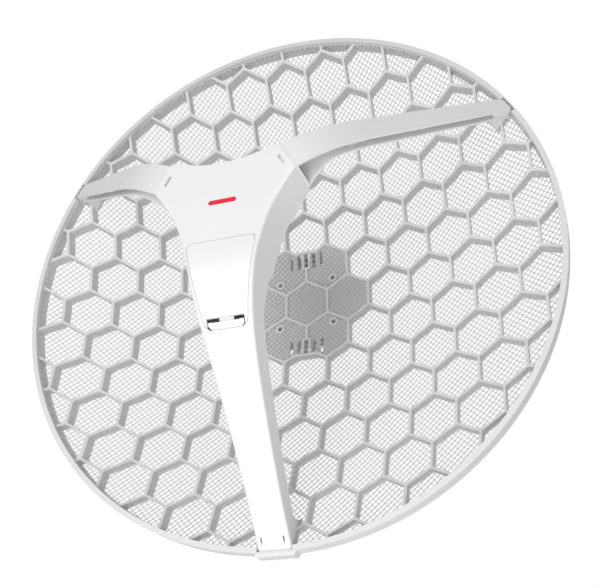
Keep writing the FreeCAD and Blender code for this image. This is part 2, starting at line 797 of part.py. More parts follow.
def head_cavities():
    """Hub, port compartment and cable channel inside the head and leg."""
    back = size("head_back")
    inside = head_block(WALL, 8)
    hub_low = HUB_BACK_END + 2.4
    hub = head_side(WALL + 0.2, hub_low, HUB_TOP, [(back + 9, HUB_TOP), (back + 9, hub_low)])
    low = BULKHEAD_Z + 2.2
    port = head_side(WALL, low, HUB_BACK_END + 4, [
        (-188.4, HUB_BACK_END + 4), (-188.4, LEG_REAR_START + 16),
        (leg_rear_y(LEG_REAR_START) - WALL - 0.6, LEG_REAR_START),
        (leg_rear_y(low) - WALL - 0.6, low)])
    foot = -266.0
    high = BULKHEAD_Z
    channel = head_side(WALL + 0.8, foot, high, [
        (leg_rear_y(high) + 6, high), (leg_rear_y(-240) + 8, -240), (-60, -247), (-60, foot)])
    return [part.common(inside) for part in (hub, port, channel)]


def cover_screw_places():
    return [(-38, 30), (38, 30), (-22, -48.5), (22, -48.5)]


def make_head():
    shell = rounded_front(head_solid(), 2.6)
    tools = head_cavities()
    tools.append(plate(door_outline(size("door_gap"))).common(
        front_skin(8, -130, -30, -2)))
    slit = release_slit()
    tools += [slit, slit.mirror(Vector(), Vector(1, 0, 0))]
    tools.append(Part.makeCylinder(4.6, 12, Vector(0, -190, BULKHEAD_Z - 5), Vector(0, 0, 1)))
    for slit_x in (-FOOT_SLIT_X, FOOT_SLIT_X):
        tools.append(Part.makeBox(1.6, 12, 11.5, Vector(slit_x - 0.8, -100, -274)))
    shell = shell.cut(tools)
    posts = board_bosses() + cover_bosses()
    return shell.fuse(head_ribs() + posts + [leg_hook()]).removeSplitter()


def head_ribs():
    """Low cross ribs behind the leg's front face that keep the cable in place."""
    ribs = []
    for z in (-155, -190, -225):
        front = front_y(-z)
        rib = Part.makeBox(60, 12, 2, Vector(-30, front + 1.5, z))
        notch = Part.makeBox(9, 8, 4, Vector(-4.5, front + 7, z - 1))
        ribs.append(rib.cut(notch).common(head_block(1.2)))
    return ribs


def board_bosses():
    """Posts on the inside of the front face that carry the main board."""
    front = size("head_front") + WALL
    posts = []
    for x, z in board_hole_places():
        post = Part.makeCylinder(3.2, size("board_y") - front, Vector(x, front, z),
                                 Vector(0, 1, 0))
        bore = Part.makeCylinder(1.3, 12, Vector(x, size("board_y") - 12, z), Vector(0, 1, 0))
        posts.append(post.cut(bore))
    return posts


def board_hole_places():
    x = size("hole_half_x")
    return [(side * x, z) for side in (-1, 1)
            for z in (size("hole_bottom"), size("hole_top"))]


def cover_bosses():
    """Posts that the rear cover's screws bite into."""
    front = size("head_front") + WALL
    end = size("head_back") - 2.2
    posts = []
    for x, z in cover_screw_places():
        beside_door = z < size("door_top")
        start = front + 8 if beside_door else front
        post = Part.makeCylinder(3.3, end - start, Vector(x, start, z), Vector(0, 1, 0))
        if beside_door:
            low_x = min(x, x * 1.6)
            web = Part.makeBox(abs(x) * 0.6, end - 3 - start, 2, Vector(low_x, start, z - 1))
            post = post.fuse(web.common(head_block(1)))
        bore = Part.makeCylinder(1.55, 16, Vector(x, size("head_back") - 15, z),
                                 Vector(0, 1, 0))
        posts.append(post.cut(bore))
    return posts


def leg_hook():
    """Hook under the leg that passes through the slot of its landing pad."""
    depth = size("pad_setback") + 2.4
    hook_z = -256.4
    barb_y = dish_y(-hook_z, depth) + 0.9
    bridge = Part.makeBox(26, 4, 2.4, Vector(-13, -82, hook_z - 2.2))
    hook = Part.makeBox(9, barb_y + 1.6 + 80, 2, Vector(-4.5, -80, hook_z - 2))
    barb = Part.makeBox(9, 1.6, 3.6, Vector(-4.5, barb_y, hook_z - 3.6))
    return bridge.fuse([hook, barb])


dish_node(shaped("Head", make_head()), "head_shell")


def hub_ring(outside, inside, front, depth):
    """A flat ring that follows the hub's wall, between two insets."""
    low = HUB_BACK_END + 1 + outside
    height = HUB_TOP - 0.3 - low
    width = inside - outside
    slab = Part.makeBox(200, depth, height, Vector(-100, front, low))
    core = Part.makeBox(200, depth, height - 2 * width, Vector(-100, front, low + width))
    ring = slab.common(head_block(outside, -outside + 0.6))
    return ring.cut(core.common(head_block(inside, -inside + 0.6)))


def make_rear_cover():
    """Flat cover behind the hub, with a raised ring that locates it."""
    back = size("head_back")
    block = head_block(WALL + size("fit_gap"), -1)
    low = HUB_BACK_END + 2.8
    slab = Part.makeBox(200, 2, HUB_TOP - 0.3 - low, Vector(-100, back - 2, low))
    ring = hub_ring(WALL + 3.4, WALL + 5.2, back - 3.8, 1.8)
    cover = slab.common(block).fuse(ring)
    holes = [Part.makeCylinder(1.7, 8, Vector(x, back - 6, z), Vector(0, 1, 0))
             for x, z in cover_screw_places()]
    return cover.cut(holes)


dish_node(shaped("RearCover", make_rear_cover()), "head_rear_cover")


def hinge_tabs(side):
    """Curved tab at the top of the door that reaches behind the head's front face."""
    top = size("door_top")
    front = size("head_front") + WALL
    foot = Part.makeBox(7, 2.4, 5, Vector(side * 17 - 3.5, front - 0.4, top - 5))
    lip = Part.makeBox(7, 1.6, 4.6, Vector(side * 17 - 3.5, front + 0.5, top - 1.8))
    return [foot, lip]


def make_door():
    skin = front_skin(size("door_wall"), -130, -30)
    slab = skin.common(plate(door_outline()))
    slot = slot_block(size("latch_half_width") + 1, size("door_bottom") - 2,
                      size("latch_slot_top"))
    door = slab.cut(slot)
    tabs = hinge_tabs(-1) + hinge_tabs(1)
    door = door.fuse(tabs)
    low = size("latch_slot_top") - 2.4
    high = size("latch_slot_top") + 3
    hanger = front_skin(1.6, low, high, 3.4).common(slot_block(6.5, low, high))
    root = front_skin(4.4, high - 2.5, high, 0.5).common(slot_block(6.5, high - 2.5, high))
    return door.fuse([hanger, root]).removeSplitter()


dish_node(shaped("Door", make_door()), "port_door")


def make_latch():
    """Press tongue of the door, with the stem of its spring web behind the slot."""
    top = size("latch_top")
    bottom = size("door_bottom")
    half = size("latch_half_width")
    outline = [(-half, top), (half, top), (half, bottom + 3), (half - 2.4, bottom),
               (-half + 2.4, bottom), (-half, bottom + 3)]
    tongue = front_skin(size("door_wall"), -130, -30).common(plate(outline))
    grip_z = (top + bottom) / 2 + 0.3
    grip = Part.makeCylinder(GRIP_RADIUS, 2 * GRIP_HALF, Vector(-GRIP_HALF, 0, grip_z),
                             Vector(1, 0, 0))
    grip.translate(Vector(0, front_y(-grip_z) - GRIP_RADIUS + GRIP_DEPTH, 0))
    tongue = tongue.cut(grip)
    stem = front_skin(1, bottom + 1, top, size("door_wall") - 0.2)
    stem = stem.common(slot_block(6, bottom + 1, top))
    web_top = size("latch_slot_top") - 2.4
    web = front_skin(1.2, top - 1, web_top, 1.8).common(slot_block(5.8, top - 1, web_top))
    return tongue.fuse([stem, web]).removeSplitter()


dish_node(shaped("Latch", make_latch()), "door_latch")


# ---------------------------------------------------------------- port and cable parts

body = doc.addObject("PartDesign::Body", "Grommet")
ring_sketch = sketch_on(body, "GrommetSection", "XZ_Plane")
add_polygon(ring_sketch, [("2.7", "-121.3"), ("5.2", "-121.3"), ("6.4", "-119.1"),
                          ("4.5", "-119.1"), ("4.5", "-116.7"), ("6.4", "-116.7"),
                          ("5.2", "-114.5"), ("2.7", "-114.5")])
turning = body.newObject("PartDesign::Revolution", "GrommetTurn")
turning.Profile = ring_sketch
turning.ReferenceAxis = (ring_sketch, ["V_Axis"])
turning.Angle = 360
body.Tip = turning
dish_node(body, "cable_grommet", "-190")

# ---------------------------------------------------------------- electronics

board = doc.addObject("PartDesign::Body", "Board")
board_sketch = sketch_on(board, "BoardOutline", "XZ_Plane")
wide = "Sizes.board_half_width"
neck = "Sizes.board_neck"
add_polygon(board_sketch, [
    ("-" + wide, "Sizes.board_top"), (wide, "Sizes.board_top"), (wide, "Sizes.board_step"),
    (neck, "Sizes.board_step"), (neck, "Sizes.board_bottom"),
    ("-" + neck, "Sizes.board_bottom"), ("-" + neck, "Sizes.board_step"),
    ("-" + wide, "Sizes.board_step")])
for x_side in ("-Sizes.hole_half_x", "Sizes.hole_half_x"):
    for z_place in ("Sizes.hole_bottom", "Sizes.hole_top"):
        add_circle(board_sketch, (x_side, z_place), "1.6")
pad(board, board_sketch, "Sizes.board_thickness", reversed_=True)
dish_node(board, "main_board", "Sizes.board_y")

BOARD_BACK = "(Sizes.board_y + Sizes.board_thickness)"


def screw(name, centre, turn, shank, length, head, head_height):
    """A pan-head screw: head on the origin side, shank along the turned Z."""
    rod = cylinder(name + "_shank", centre, turn, shank, length)
    cap = doc.addObject("Part::Cone", name + "_head")
    bind(cap, {"Radius1": head, "Radius2": f"{head} * 0.8", "Height": head_height})
    place(cap, centre, turn.multiply(Rotation(Vector(1, 0, 0), 180)))
    return fuse(name, [rod, cap])


board_screws = [
    screw(f"BoardScrew{index}", (str(x), BOARD_BACK, str(z)), FORWARD, "1.25", "9", "2.6", "1.9")
    for index, (x, z) in enumerate(board_hole_places())]
dish_node(group("BoardScrews", board_screws), "board_screws")

shield = box("ShieldOuter", ("-Sizes.shield_side / 2", "Sizes.board_y - Sizes.shield_height",
                             "-16"),
             ("Sizes.shield_side", "Sizes.shield_height", "Sizes.shield_side"))
shield_room = box("ShieldRoom", ("-Sizes.shield_side / 2 + 0.4",
                                 "Sizes.board_y - Sizes.shield_height + 0.4", "-15.6"),
                  ("Sizes.shield_side - 0.8", "Sizes.shield_height", "Sizes.shield_side - 0.8"))
dish_node(cut("Shield", shield, [shield_room]), "rf_shield_can")

jack_body = box("JackBody", ("-Sizes.jack_width / 2", "Sizes.board_y - Sizes.jack_height",
                             "Sizes.board_bottom"),
                ("Sizes.jack_width", "Sizes.jack_height", "Sizes.jack_length"))
jack_mouth = box("JackMouth", ("-5.95", "Sizes.board_y - Sizes.jack_height + 2.6",
                               "Sizes.board_bottom - 1"), ("11.9", "7.6", "14"))
jack_key = box("JackKey", ("-3.2", "Sizes.board_y - 4", "Sizes.board_bottom - 1"),
               ("6.4", "3.2", "14"))
dish_node(cut("Jack", jack_body, [jack_mouth, jack_key]), "ethernet_jack")

contacts = [box(f"Contact{index}", (str(-3.71 + 1.06 * index),
                                    "Sizes.board_y - Sizes.jack_height + 2.65",
                                    "Sizes.board_bottom + 3"), ("0.45", "1", "9.8"))
            for index in range(8)]
dish_node(group("Contacts", contacts), "jack_contacts")

coupler = box("Coupler", ("-8", "Sizes.board_y - 5.5", "-44"), ("16", "5.5", "12"))
doc.recompute()
front_edges = [index for index, edge in enumerate(coupler.Shape.Edges, start=1)
               if abs(edge.CenterOfMass.y - coupler.Shape.BoundBox.YMin) < 0.01]
eased = doc.addObject("Part::Chamfer", "CouplerEased")
eased.Base = coupler
eased.Edges = [(index, 0.8, 0.8) for index in front_edges]
dish_node(eased, "network_transformer")

RESET_X = "13"
RESET_Z = "-66"
switch = box("SwitchCase", ("10", "Sizes.board_y - 3.5", "-69"), ("6", "3.5", "6"))
switch_bore = cylinder("SwitchBore", (RESET_X, "Sizes.board_y - 1.2", RESET_Z), FORWARD,
                       "1.75", "4")
dish_node(cut("Switch", switch, [switch_bore]), "reset_switch")
button = cylinder("ResetButton", (RESET_X, "0", "0"), FORWARD, "1.68", "3.4")
dish_node(button, "reset_button", "Sizes.board_y - 2", RESET_Z)

leds = [box(f"Led{index}", ("-14.8", "Sizes.board_y - 0.8", str(-56 - 4 * index)),
            ("1.6", "0.8", "0.9")) for index in range(4)]
dish_node(group("Leds", leds), "status_leds")

# the feed: a driven patch over a ground plate, facing the dish
ground = box("GroundSheet", ("-Sizes.feed_side / 2", "Sizes.feed_y", "-Sizes.feed_side / 2"),
             ("Sizes.feed_side", "1", "Sizes.feed_side"))
PIN_PLACES = (("0", "6.5"), ("6.5", "0"))
pin_holes = [cylinder(f"PinHole{index}", (x, "Sizes.feed_y - 1", z), REARWARD, "1.7", "3")
             for index, (x, z) in enumerate(PIN_PLACES)]
dish_node(cut("Ground", ground, pin_holes), "feed_ground_plate")

pins = [cylinder(f"Pin{index}", (x, BOARD_BACK, z), REARWARD, "0.65",
                 f"Sizes.patch_y - {BOARD_BACK}") for index, (x, z) in enumerate(PIN_PLACES)]
dish_node(group("Pins", pins), "feed_pins")

patch = box("Patch", ("-Sizes.patch_side / 2", "0", "0"),
            ("Sizes.patch_side", "0.8", "Sizes.patch_side"))
dish_node(patch, "feed_patch", "Sizes.patch_y", "-Sizes.patch_side / 2")

board_spacers = [cylinder(f"BoardSpacer{index}", (str(x), BOARD_BACK, str(z)), REARWARD, "2",
                          f"Sizes.feed_y - {BOARD_BACK}")
                 for index, (x, z) in enumerate([(-26, -12), (26, -12), (-26, 12), (26, 12)])]
patch_spacers = [cylinder(f"PatchSpacer{index}", (str(x), "Sizes.feed_y + 1", str(z)),
                          REARWARD, "1.4", "Sizes.patch_y - Sizes.feed_y - 1")
                 for index, (x, z) in enumerate([(-9, -9), (9, -9), (-9, 9), (9, 9)])]
dish_node(group("Spacers", board_spacers + patch_spacers), "feed_spacers")


def make_gasket():
    """Flat rubber ring between the head and its rear cover."""
    return hub_ring(WALL + 0.7, WALL + 3.1, size("head_back") - 3.75, 1.7)


dish_node(shaped("Gasket", make_gasket()), "cover_gasket")

cover_screws = [
    screw(f"CoverScrew{index}", (str(x), "Sizes.head_back", str(z)), FORWARD, "1.5", "12",
          "2.9", "1.7")
    for index, (x, z) in enumerate(cover_screw_places())]
dish_node(group("CoverScrews", cover_screws), "cover_screws")

# ---------------------------------------------------------------- tilt bracket

BRACKET_Y = "(Sizes.rib_depth - Sizes.mast_offset)"
SLOT_HALF = 3.3

bracket = doc.addObject("PartDesign::Body", "Bracket")
base_sketch = sketch_on(bracket, "BracketBase", "XZ_Plane")
NARROW = "(Sizes.cheek_inside + Sizes.bracket_sheet)"
right_side = [
    ("Sizes.bracket_half_width - 6", "Sizes.bracket_bottom"),
    ("Sizes.bracket_half_width", "Sizes.bracket_bottom + 6"),
    ("Sizes.bracket_half_width", "Sizes.bracket_step - 4"),
    ("Sizes.bracket_half_width - 4", "Sizes.bracket_step"),
    (NARROW, "Sizes.bracket_step"), (NARROW, "Sizes.bracket_top")]
left_side = [(f"-({x})", z) for x, z in reversed(right_side)]
add_polygon(base_sketch, right_side + left_side)
for x_side in ("-Sizes.screw_half_x", "Sizes.screw_half_x"):
    for z_side in ("-Sizes.screw_half_z", "Sizes.screw_half_z"):
        add_circle(base_sketch, (x_side, f"{z_side} - Sizes.mast_rise"), "2.8")
window = rectangle("-17", "17", "6", "15")
add_polygon(base_sketch, window)
pad(bracket, base_sketch, "Sizes.bracket_sheet", reversed_=True)
place(bracket, ("0", BRACKET_Y, "0"))


def cheek_profile():
    """Side view of a cheek: pivot hole, and an arc slot for the lock bolt above it."""
    plate_back = number(f"{BRACKET_Y} + Sizes.bracket_sheet")
    return [(plate_back - 1, -18), (plate_back - 1, 25), (-36, 25), (-34.2, 23),
            (-34.2, 12), (-36.5, 6), (-36.5, -4), (-39.5, -7.5), (-46, -9)]


def make_cheek():
    pivot_y = size("pivot_y")
    inner = size("cheek_inside")
    outline = polyline([(inner, y, z) for y, z in cheek_profile() + cheek_profile()[:1]])
    cheek = prism(outline, (size("bracket_sheet"), 0, 0))
    hole = Part.makeCylinder(size("bolt_radius") + 0.1, 20, Vector(inner - 5, pivot_y, 0),
                             Vector(1, 0, 0))
    radius = size("slot_radius")
    limit = size("tilt_limit") + 0.5
    ends = []
    for angle in (-limit, limit):
        y = pivot_y + radius * math.sin(math.radians(angle))
        z = radius * math.cos(math.radians(angle))
        ends.append(Part.makeCylinder(SLOT_HALF, 20, Vector(inner - 5, y, z),
                                      Vector(1, 0, 0)))
    low = radius - SLOT_HALF
    high = radius + SLOT_HALF
    section = [(inner - 5, low), (inner - 5, high), (inner + 15, high), (inner + 15, low)]
    arc = Part.Face(polyline([(x, pivot_y, z) for x, z in section + section[:1]]))
    arc.rotate(Vector(0, pivot_y, 0), Vector(1, 0, 0), -limit)
    arc = arc.revolve(Vector(0, pivot_y, 0), Vector(1, 0, 0), 2 * limit)
    return cheek.cut([hole, arc] + ends)


right_cheek = make_cheek()
left_cheek = right_cheek.mirror(Vector(), Vector(1, 0, 0))
cheeks = [shaped("RightCheek", right_cheek), shaped("LeftCheek", left_cheek)]
node(fuse("TiltBracket", [bracket] + cheeks), "tilt_bracket")

bracket_screws = [
    screw(f"BracketScrew{index}", (str(x), "Sizes.rib_depth + Sizes.bracket_sheet", str(z)),
          FORWARD, "2.45", "12.5", "4.6", "3")
    for index, (x, z) in enumerate(screw_places())]
dish_node(group("BracketScrews", bracket_screws), "bracket_screws")

# ---------------------------------------------------------------- mast saddle

saddle = doc.addObject("PartDesign::Body", "Saddle")
side_sketch = sketch_on(saddle, "SaddleSide", "YZ_Plane")
add_polygon(side_sketch, [
    ("Sizes.saddle_front", "-14"), ("Sizes.saddle_front + 10", "Sizes.saddle_bottom"),
    ("Sizes.saddle_back", "Sizes.saddle_bottom"), ("Sizes.saddle_back", "Sizes.saddle_top"),
    ("Sizes.saddle_front + 10", "Sizes.saddle_top"), ("Sizes.saddle_front", "14")])
pad(saddle, side_sketch, "2 * Sizes.saddle_half_width", midplane=True)

mast_sketch = sketch_on(saddle, "MastSeat", "XY_Plane")
add_circle(mast_sketch, ("0", "0"), "Sizes.mast_radius")
pocket_through(saddle, mast_sketch)

core_sketch = sketch_on(saddle, "SaddleCore", "XY_Plane")
add_polygon(core_sketch, rectangle("-15.5", "15.5", "Sizes.saddle_front + 4.5", "-33"))
pocket_through(saddle, core_sketch)

bolt_sketch = sketch_on(saddle, "BoltHoles", "YZ_Plane")
for z_place in ("0", "Sizes.slot_radius"):
    add_circle(bolt_sketch, ("Sizes.pivot_y", z_place), "Sizes.bolt_radius + 0.05")
pocket_through(saddle, bolt_sketch)

BAND_FRONT = "(-Sizes.mast_radius - 2)"
band_sketch = sketch_on(saddle, "BandSlots", "YZ_Plane")
for side in ("-", ""):
    middle = f"{side}Sizes.band_z"
    low_edge = f"{middle} - Sizes.band_height / 2 - 0.4"
    high_edge = f"{middle} + Sizes.band_height / 2 + 0.4"
    add_polygon(band_sketch, rectangle(f"{BAND_FRONT} - 1.2", f"{BAND_FRONT} + 0.3",
                                       low_edge, high_edge))
pocket_through(saddle, band_sketch)
node(saddle, "mast_saddle")

# bolts, nuts and washers of the tilt joint
WASHER = "1.6"
OUTSIDE = "(Sizes.cheek_inside + Sizes.bracket_sheet + 0.1)"
bolts = []
nuts = []
washers = []
for index, z_place in enumerate(("0", "Sizes.slot_radius")):
    tail = f"(-{OUTSIDE} - {WASHER} - 4)"
    shank = cylinder(f"BoltShank{index}", (tail, "Sizes.pivot_y", z_place), ACROSS,
                     "Sizes.bolt_radius", f"2 * ({OUTSIDE} + {WASHER}) + 4 + 8")
    head = hexagon(f"BoltHead{index}", (tail, "Sizes.pivot_y", z_place), ACROSS, "5.77", "4")
    bolts.append(fuse(f"Bolt{index}", [shank, head]))
    nut = hexagon(f"NutHex{index}", (f"{OUTSIDE} + {WASHER}", "Sizes.pivot_y", z_place), ACROSS,
                  "5.77", "5.2")
    thread = cylinder(f"NutBore{index}", (f"{OUTSIDE}", "Sizes.pivot_y", z_place), ACROSS,
                      "Sizes.bolt_radius", "12")
    nuts.append(cut(f"Nut{index}", nut, [thread]))
    for side, start in (("Left", f"-{OUTSIDE} - {WASHER}"), ("Right", OUTSIDE)):
        disc = cylinder(f"Washer{side}{index}", (start, "Sizes.pivot_y", z_place), ACROSS, "6.4",
                        WASHER)
        bore = cylinder(f"WasherBore{side}{index}", (f"{start} - 1", "Sizes.pivot_y", z_place),
                        ACROSS, "Sizes.bolt_radius + 0.2", "4")
        washers.append(cut(f"Ring{side}{index}", disc, [bore]))
node(group("TiltBolts", bolts), "tilt_bolts")
node(group("TiltNuts", nuts), "tilt_nuts")
node(group("TiltWashers", washers), "tilt_washers")

# ---------------------------------------------------------------- hose clamps


def band_loop(offset):
    """Closed path of a band: through the saddle in front, round the mast behind."""
    corner_x = size("saddle_half_width") + 0.9
    corner_y = number(BAND_FRONT)
    radius = size("mast_radius") + offset
    span = math.hypot(corner_x, corner_y)
    touch = math.atan2(corner_y, corner_x) + math.acos(size("mast_radius") / span)
    spot = Vector(radius * math.cos(touch), radius * math.sin(touch), 0)
    mirrored = Vector(-spot.x, spot.y, 0)
    arc = Part.Arc(spot, Vector(0, radius, 0), mirrored).toShape()
    front = polyline([mirrored, (-corner_x - offset, corner_y - offset, 0),
                      (corner_x + offset, corner_y - offset, 0), spot])
    return Part.Wire(arc.Edges + front.Edges)


def make_band(middle):
    outer = prism(band_loop(size("band_thickness")), (0, 0, size("band_height")))
    inner = prism(band_loop(0), (0, 0, size("band_height")))
    band = outer.cut(inner)
    band.translate(Vector(0, 0, middle - size("band_height") / 2))
    return band


def make_housing(middle):
    """Stamped cover of the worm screw, seated on its band."""
    block = Part.makeBox(18, 12, 13, Vector(-9, size("mast_radius") - 1, middle - 6.5))
    seat = Part.makeCylinder(size("mast_radius") + size("band_thickness"), 40,
                             Vector(0, 0, middle - 20))
    bore = Part.makeCylinder(size("worm_radius") + 0.1, 40, Vector(-20, size("worm_y"), middle),
                             Vector(1, 0, 0))
    long_edges = [edge for edge in block.Edges
                  if edge.CenterOfMass.y > 30 and abs(edge.CenterOfMass.x) < 0.1]
    return block.makeFillet(3.4, long_edges).cut([seat, bore])


heights = (size("band_z"), -size("band_z"))
node(shaped("Bands", Part.makeCompound([make_band(z) for z in heights])), "clamp_bands")
node(shaped("Housings", Part.makeCompound([make_housing(z) for z in heights])), "worm_housings")

for name, label, middle in (("UpperWorm", "upper_worm_screw", "Sizes.band_z"),
                            ("LowerWorm", "lower_worm_screw", "-Sizes.band_z")):
    thread = cylinder(name + "Thread", ("-10.6", "0", middle), ACROSS, "Sizes.worm_radius",
                      "20.6")
    collar = cylinder(name + "Collar", ("-10.6", "0", middle), ACROSS, "4.9", "1.2")
    head = hexagon(name + "Hex", ("-15.2", "0", middle), ACROSS, "4.05", "4.8")
    slot = box(name + "Slot", ("-15.6", "-5", f"{middle} - 0.6"), ("2", "10", "1.2"))
    solid = cut(name, fuse(name + "Body", [thread, collar, head]), [slot])
    solid.setExpression("Placement.Base.y", "Sizes.worm_y")
    node(solid, label)

# ---------------------------------------------------------------- checks and export

doc.recompute()
for thing in doc.Objects:
    if {"Invalid", "Error"} & set(thing.State):
        raise RuntimeError(f"{thing.Name} failed: {thing.State}")

for thing in nodes:
    shape = thing.Shape
    if shape.isNull() or not shape.isValid() or not shape.Solids:
        raise RuntimeError(f"{thing.Label} has no valid solid")

for thing in nodes:
    solids = len(thing.Shape.Solids)
    print(thing.Label, solids, round(thing.Shape.Volume))
    thing.Shape.exportStep(f"parts/{thing.Label}.step")
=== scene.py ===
"""Looks of the parabolic grid antenna: materials, wire mesh, fine detail, light and camera."""
import json
import math

import bmesh
import bpy
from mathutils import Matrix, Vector


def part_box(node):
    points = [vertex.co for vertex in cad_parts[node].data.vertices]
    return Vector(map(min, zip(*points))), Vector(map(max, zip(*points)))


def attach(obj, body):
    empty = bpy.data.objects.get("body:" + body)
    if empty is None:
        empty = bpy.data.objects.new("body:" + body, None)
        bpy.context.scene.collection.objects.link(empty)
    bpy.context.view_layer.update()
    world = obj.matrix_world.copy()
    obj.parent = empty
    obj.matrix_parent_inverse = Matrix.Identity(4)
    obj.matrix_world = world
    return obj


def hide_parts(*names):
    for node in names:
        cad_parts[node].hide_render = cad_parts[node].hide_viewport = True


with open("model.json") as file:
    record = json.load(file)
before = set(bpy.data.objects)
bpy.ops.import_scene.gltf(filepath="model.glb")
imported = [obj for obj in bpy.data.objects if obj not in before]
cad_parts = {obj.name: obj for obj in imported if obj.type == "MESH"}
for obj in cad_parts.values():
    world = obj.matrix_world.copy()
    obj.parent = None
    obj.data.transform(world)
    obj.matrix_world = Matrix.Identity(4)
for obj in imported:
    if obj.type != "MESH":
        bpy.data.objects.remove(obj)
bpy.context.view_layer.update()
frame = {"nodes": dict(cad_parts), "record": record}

# ---------------------------------------------------------------- places, from the frame


def box_corners(node):
    """The two opposite corners of a CAD node's box."""
    return [Vector(corner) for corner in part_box(node)]


DISH_HIGH = box_corners("dish_grid")[1]
MESH_LOW, MESH_HIGH = box_corners("reflector_mesh")
MESH_RADIUS = MESH_HIGH.x
MESH_SETBACK = 0.0010
MESH_THICKNESS = 0.0005
VERTEX_Y = MESH_HIGH.y - MESH_SETBACK - MESH_THICKNESS
VERTEX_Z = DISH_HIGH.z - DISH_HIGH.x
FOCAL_LENGTH = MESH_RADIUS ** 2 / (4 * (VERTEX_Y + MESH_SETBACK - MESH_LOW.y))

# ---------------------------------------------------------------- material helpers


def new_material(name):
    material = bpy.data.materials.new(name)
    material.use_nodes = True
    nodes = material.node_tree.nodes
    return material, nodes, material.node_tree.links, nodes["Principled BSDF"]


def noise(nodes, links, scale, detail=3.0, stretch=(1, 1, 1)):
    """Noise in the object's own space; scale is in cycles per metre."""
    coordinates = nodes.new("ShaderNodeTexCoord")
    mapping = nodes.new("ShaderNodeMapping")
    mapping.inputs["Scale"].default_value = stretch
    texture = nodes.new("ShaderNodeTexNoise")
    texture.inputs["Scale"].default_value = scale
    texture.inputs["Detail"].default_value = detail
    links.new(coordinates.outputs["Object"], mapping.inputs["Vector"])
    links.new(mapping.outputs["Vector"], texture.inputs["Vector"])
    return texture.outputs["Fac"]


def ramp(nodes, links, source, low, high, start=0.3, end=0.7):
    """A colour ramp between two colours."""
    node = nodes.new("ShaderNodeValToRGB")
    node.color_ramp.elements[0].position = start
    node.color_ramp.elements[0].color = (*low, 1)
    node.color_ramp.elements[1].position = end
    node.color_ramp.elements[1].color = (*high, 1)
    links.new(source, node.inputs["Fac"])
    return node.outputs["Color"]


def spread(nodes, links, source, low, high):
    """Maps noise to a range of values."""
    node = nodes.new("ShaderNodeMapRange")
    node.inputs["From Min"].default_value = 0.3
    node.inputs["From Max"].default_value = 0.7
    node.inputs["To Min"].default_value = low
    node.inputs["To Max"].default_value = high
    links.new(source, node.inputs["Value"])
    return node.outputs["Result"]


def bump(nodes, links, source, distance, strength=1.0, below=None):
    """Relief from noise, a distance in metres high, laid over the relief below it."""
    node = nodes.new("ShaderNodeBump")
    node.inputs["Distance"].default_value = distance
    node.inputs["Strength"].default_value = strength
    links.new(source, node.inputs["Height"])
    if below is not None:
        links.new(below, node.inputs["Normal"])
    return node.outputs["Normal"]


def shade(color, factor):
    """A colour made darker or lighter by a factor."""
    return tuple(min(1.0, channel * factor) for channel in color)


def moulded(name, color, rough=(0.32, 0.42), grain=900, grain_depth=0.00002, mottle=0.025):
    """Moulded plastic: faint cloudiness, uneven gloss and a fine tool grain."""
    material, nodes, links, shader = new_material(name)
    cloud = noise(nodes, links, 14, 2.0)
    tone = ramp(nodes, links, cloud, shade(color, 1 - mottle), shade(color, 1 + mottle))
    links.new(tone, shader.inputs["Base Color"])
    links.new(spread(nodes, links, noise(nodes, links, 60, 4.0), *rough),
              shader.inputs["Roughness"])
    wave = bump(nodes, links, noise(nodes, links, 22, 1.0), 0.0004, 0.25)
    fine = bump(nodes, links, noise(nodes, links, grain, 2.0), grain_depth, 1.0, wave)
    links.new(fine, shader.inputs["Normal"])
    shader.inputs["IOR"].default_value = 1.49
    return material


def metal(name, color, rough=(0.25, 0.4), scale=400, stretch=(1, 1, 1), depth=0.00003):
    """Bare or plated metal with fine marks along one direction and a slight patchiness."""
    material, nodes, links, shader = new_material(name)
    cloud = noise(nodes, links, 55, 5.0)
    tone = ramp(nodes, links, cloud, shade(color, 0.92), shade(color, 1.04))
    links.new(tone, shader.inputs["Base Color"])
    marks = noise(nodes, links, scale, 3.0, stretch)
    links.new(spread(nodes, links, marks, *rough), shader.inputs["Roughness"])
    links.new(bump(nodes, links, marks, depth, 0.6), shader.inputs["Normal"])
    shader.inputs["Metallic"].default_value = 1.0
    return material


def coated(name, color, rough=(0.45, 0.6)):
    """Powder coat over sheet metal: an even orange-peel."""
    material, nodes, links, shader = new_material(name)
    cloud = noise(nodes, links, 30, 2.0)
    tone = ramp(nodes, links, cloud, shade(color, 0.97), shade(color, 1.03))
    links.new(tone, shader.inputs["Base Color"])
    links.new(spread(nodes, links, noise(nodes, links, 90, 3.0), *rough),
              shader.inputs["Roughness"])
    peel = bump(nodes, links, noise(nodes, links, 650, 2.0), 0.00008, 0.7)
    links.new(peel, shader.inputs["Normal"])
    return material


def rubber(name, color):
    """Dull rubber with a little pale dust."""
    material, nodes, links, shader = new_material(name)
    dust = noise(nodes, links, 240, 5.0)
    links.new(ramp(nodes, links, dust, color, shade(color, 2.2)), shader.inputs["Base Color"])
    links.new(spread(nodes, links, dust, 0.6, 0.85), shader.inputs["Roughness"])
    links.new(bump(nodes, links, noise(nodes, links, 1500, 3.0), 0.00003),
              shader.inputs["Normal"])
    return material


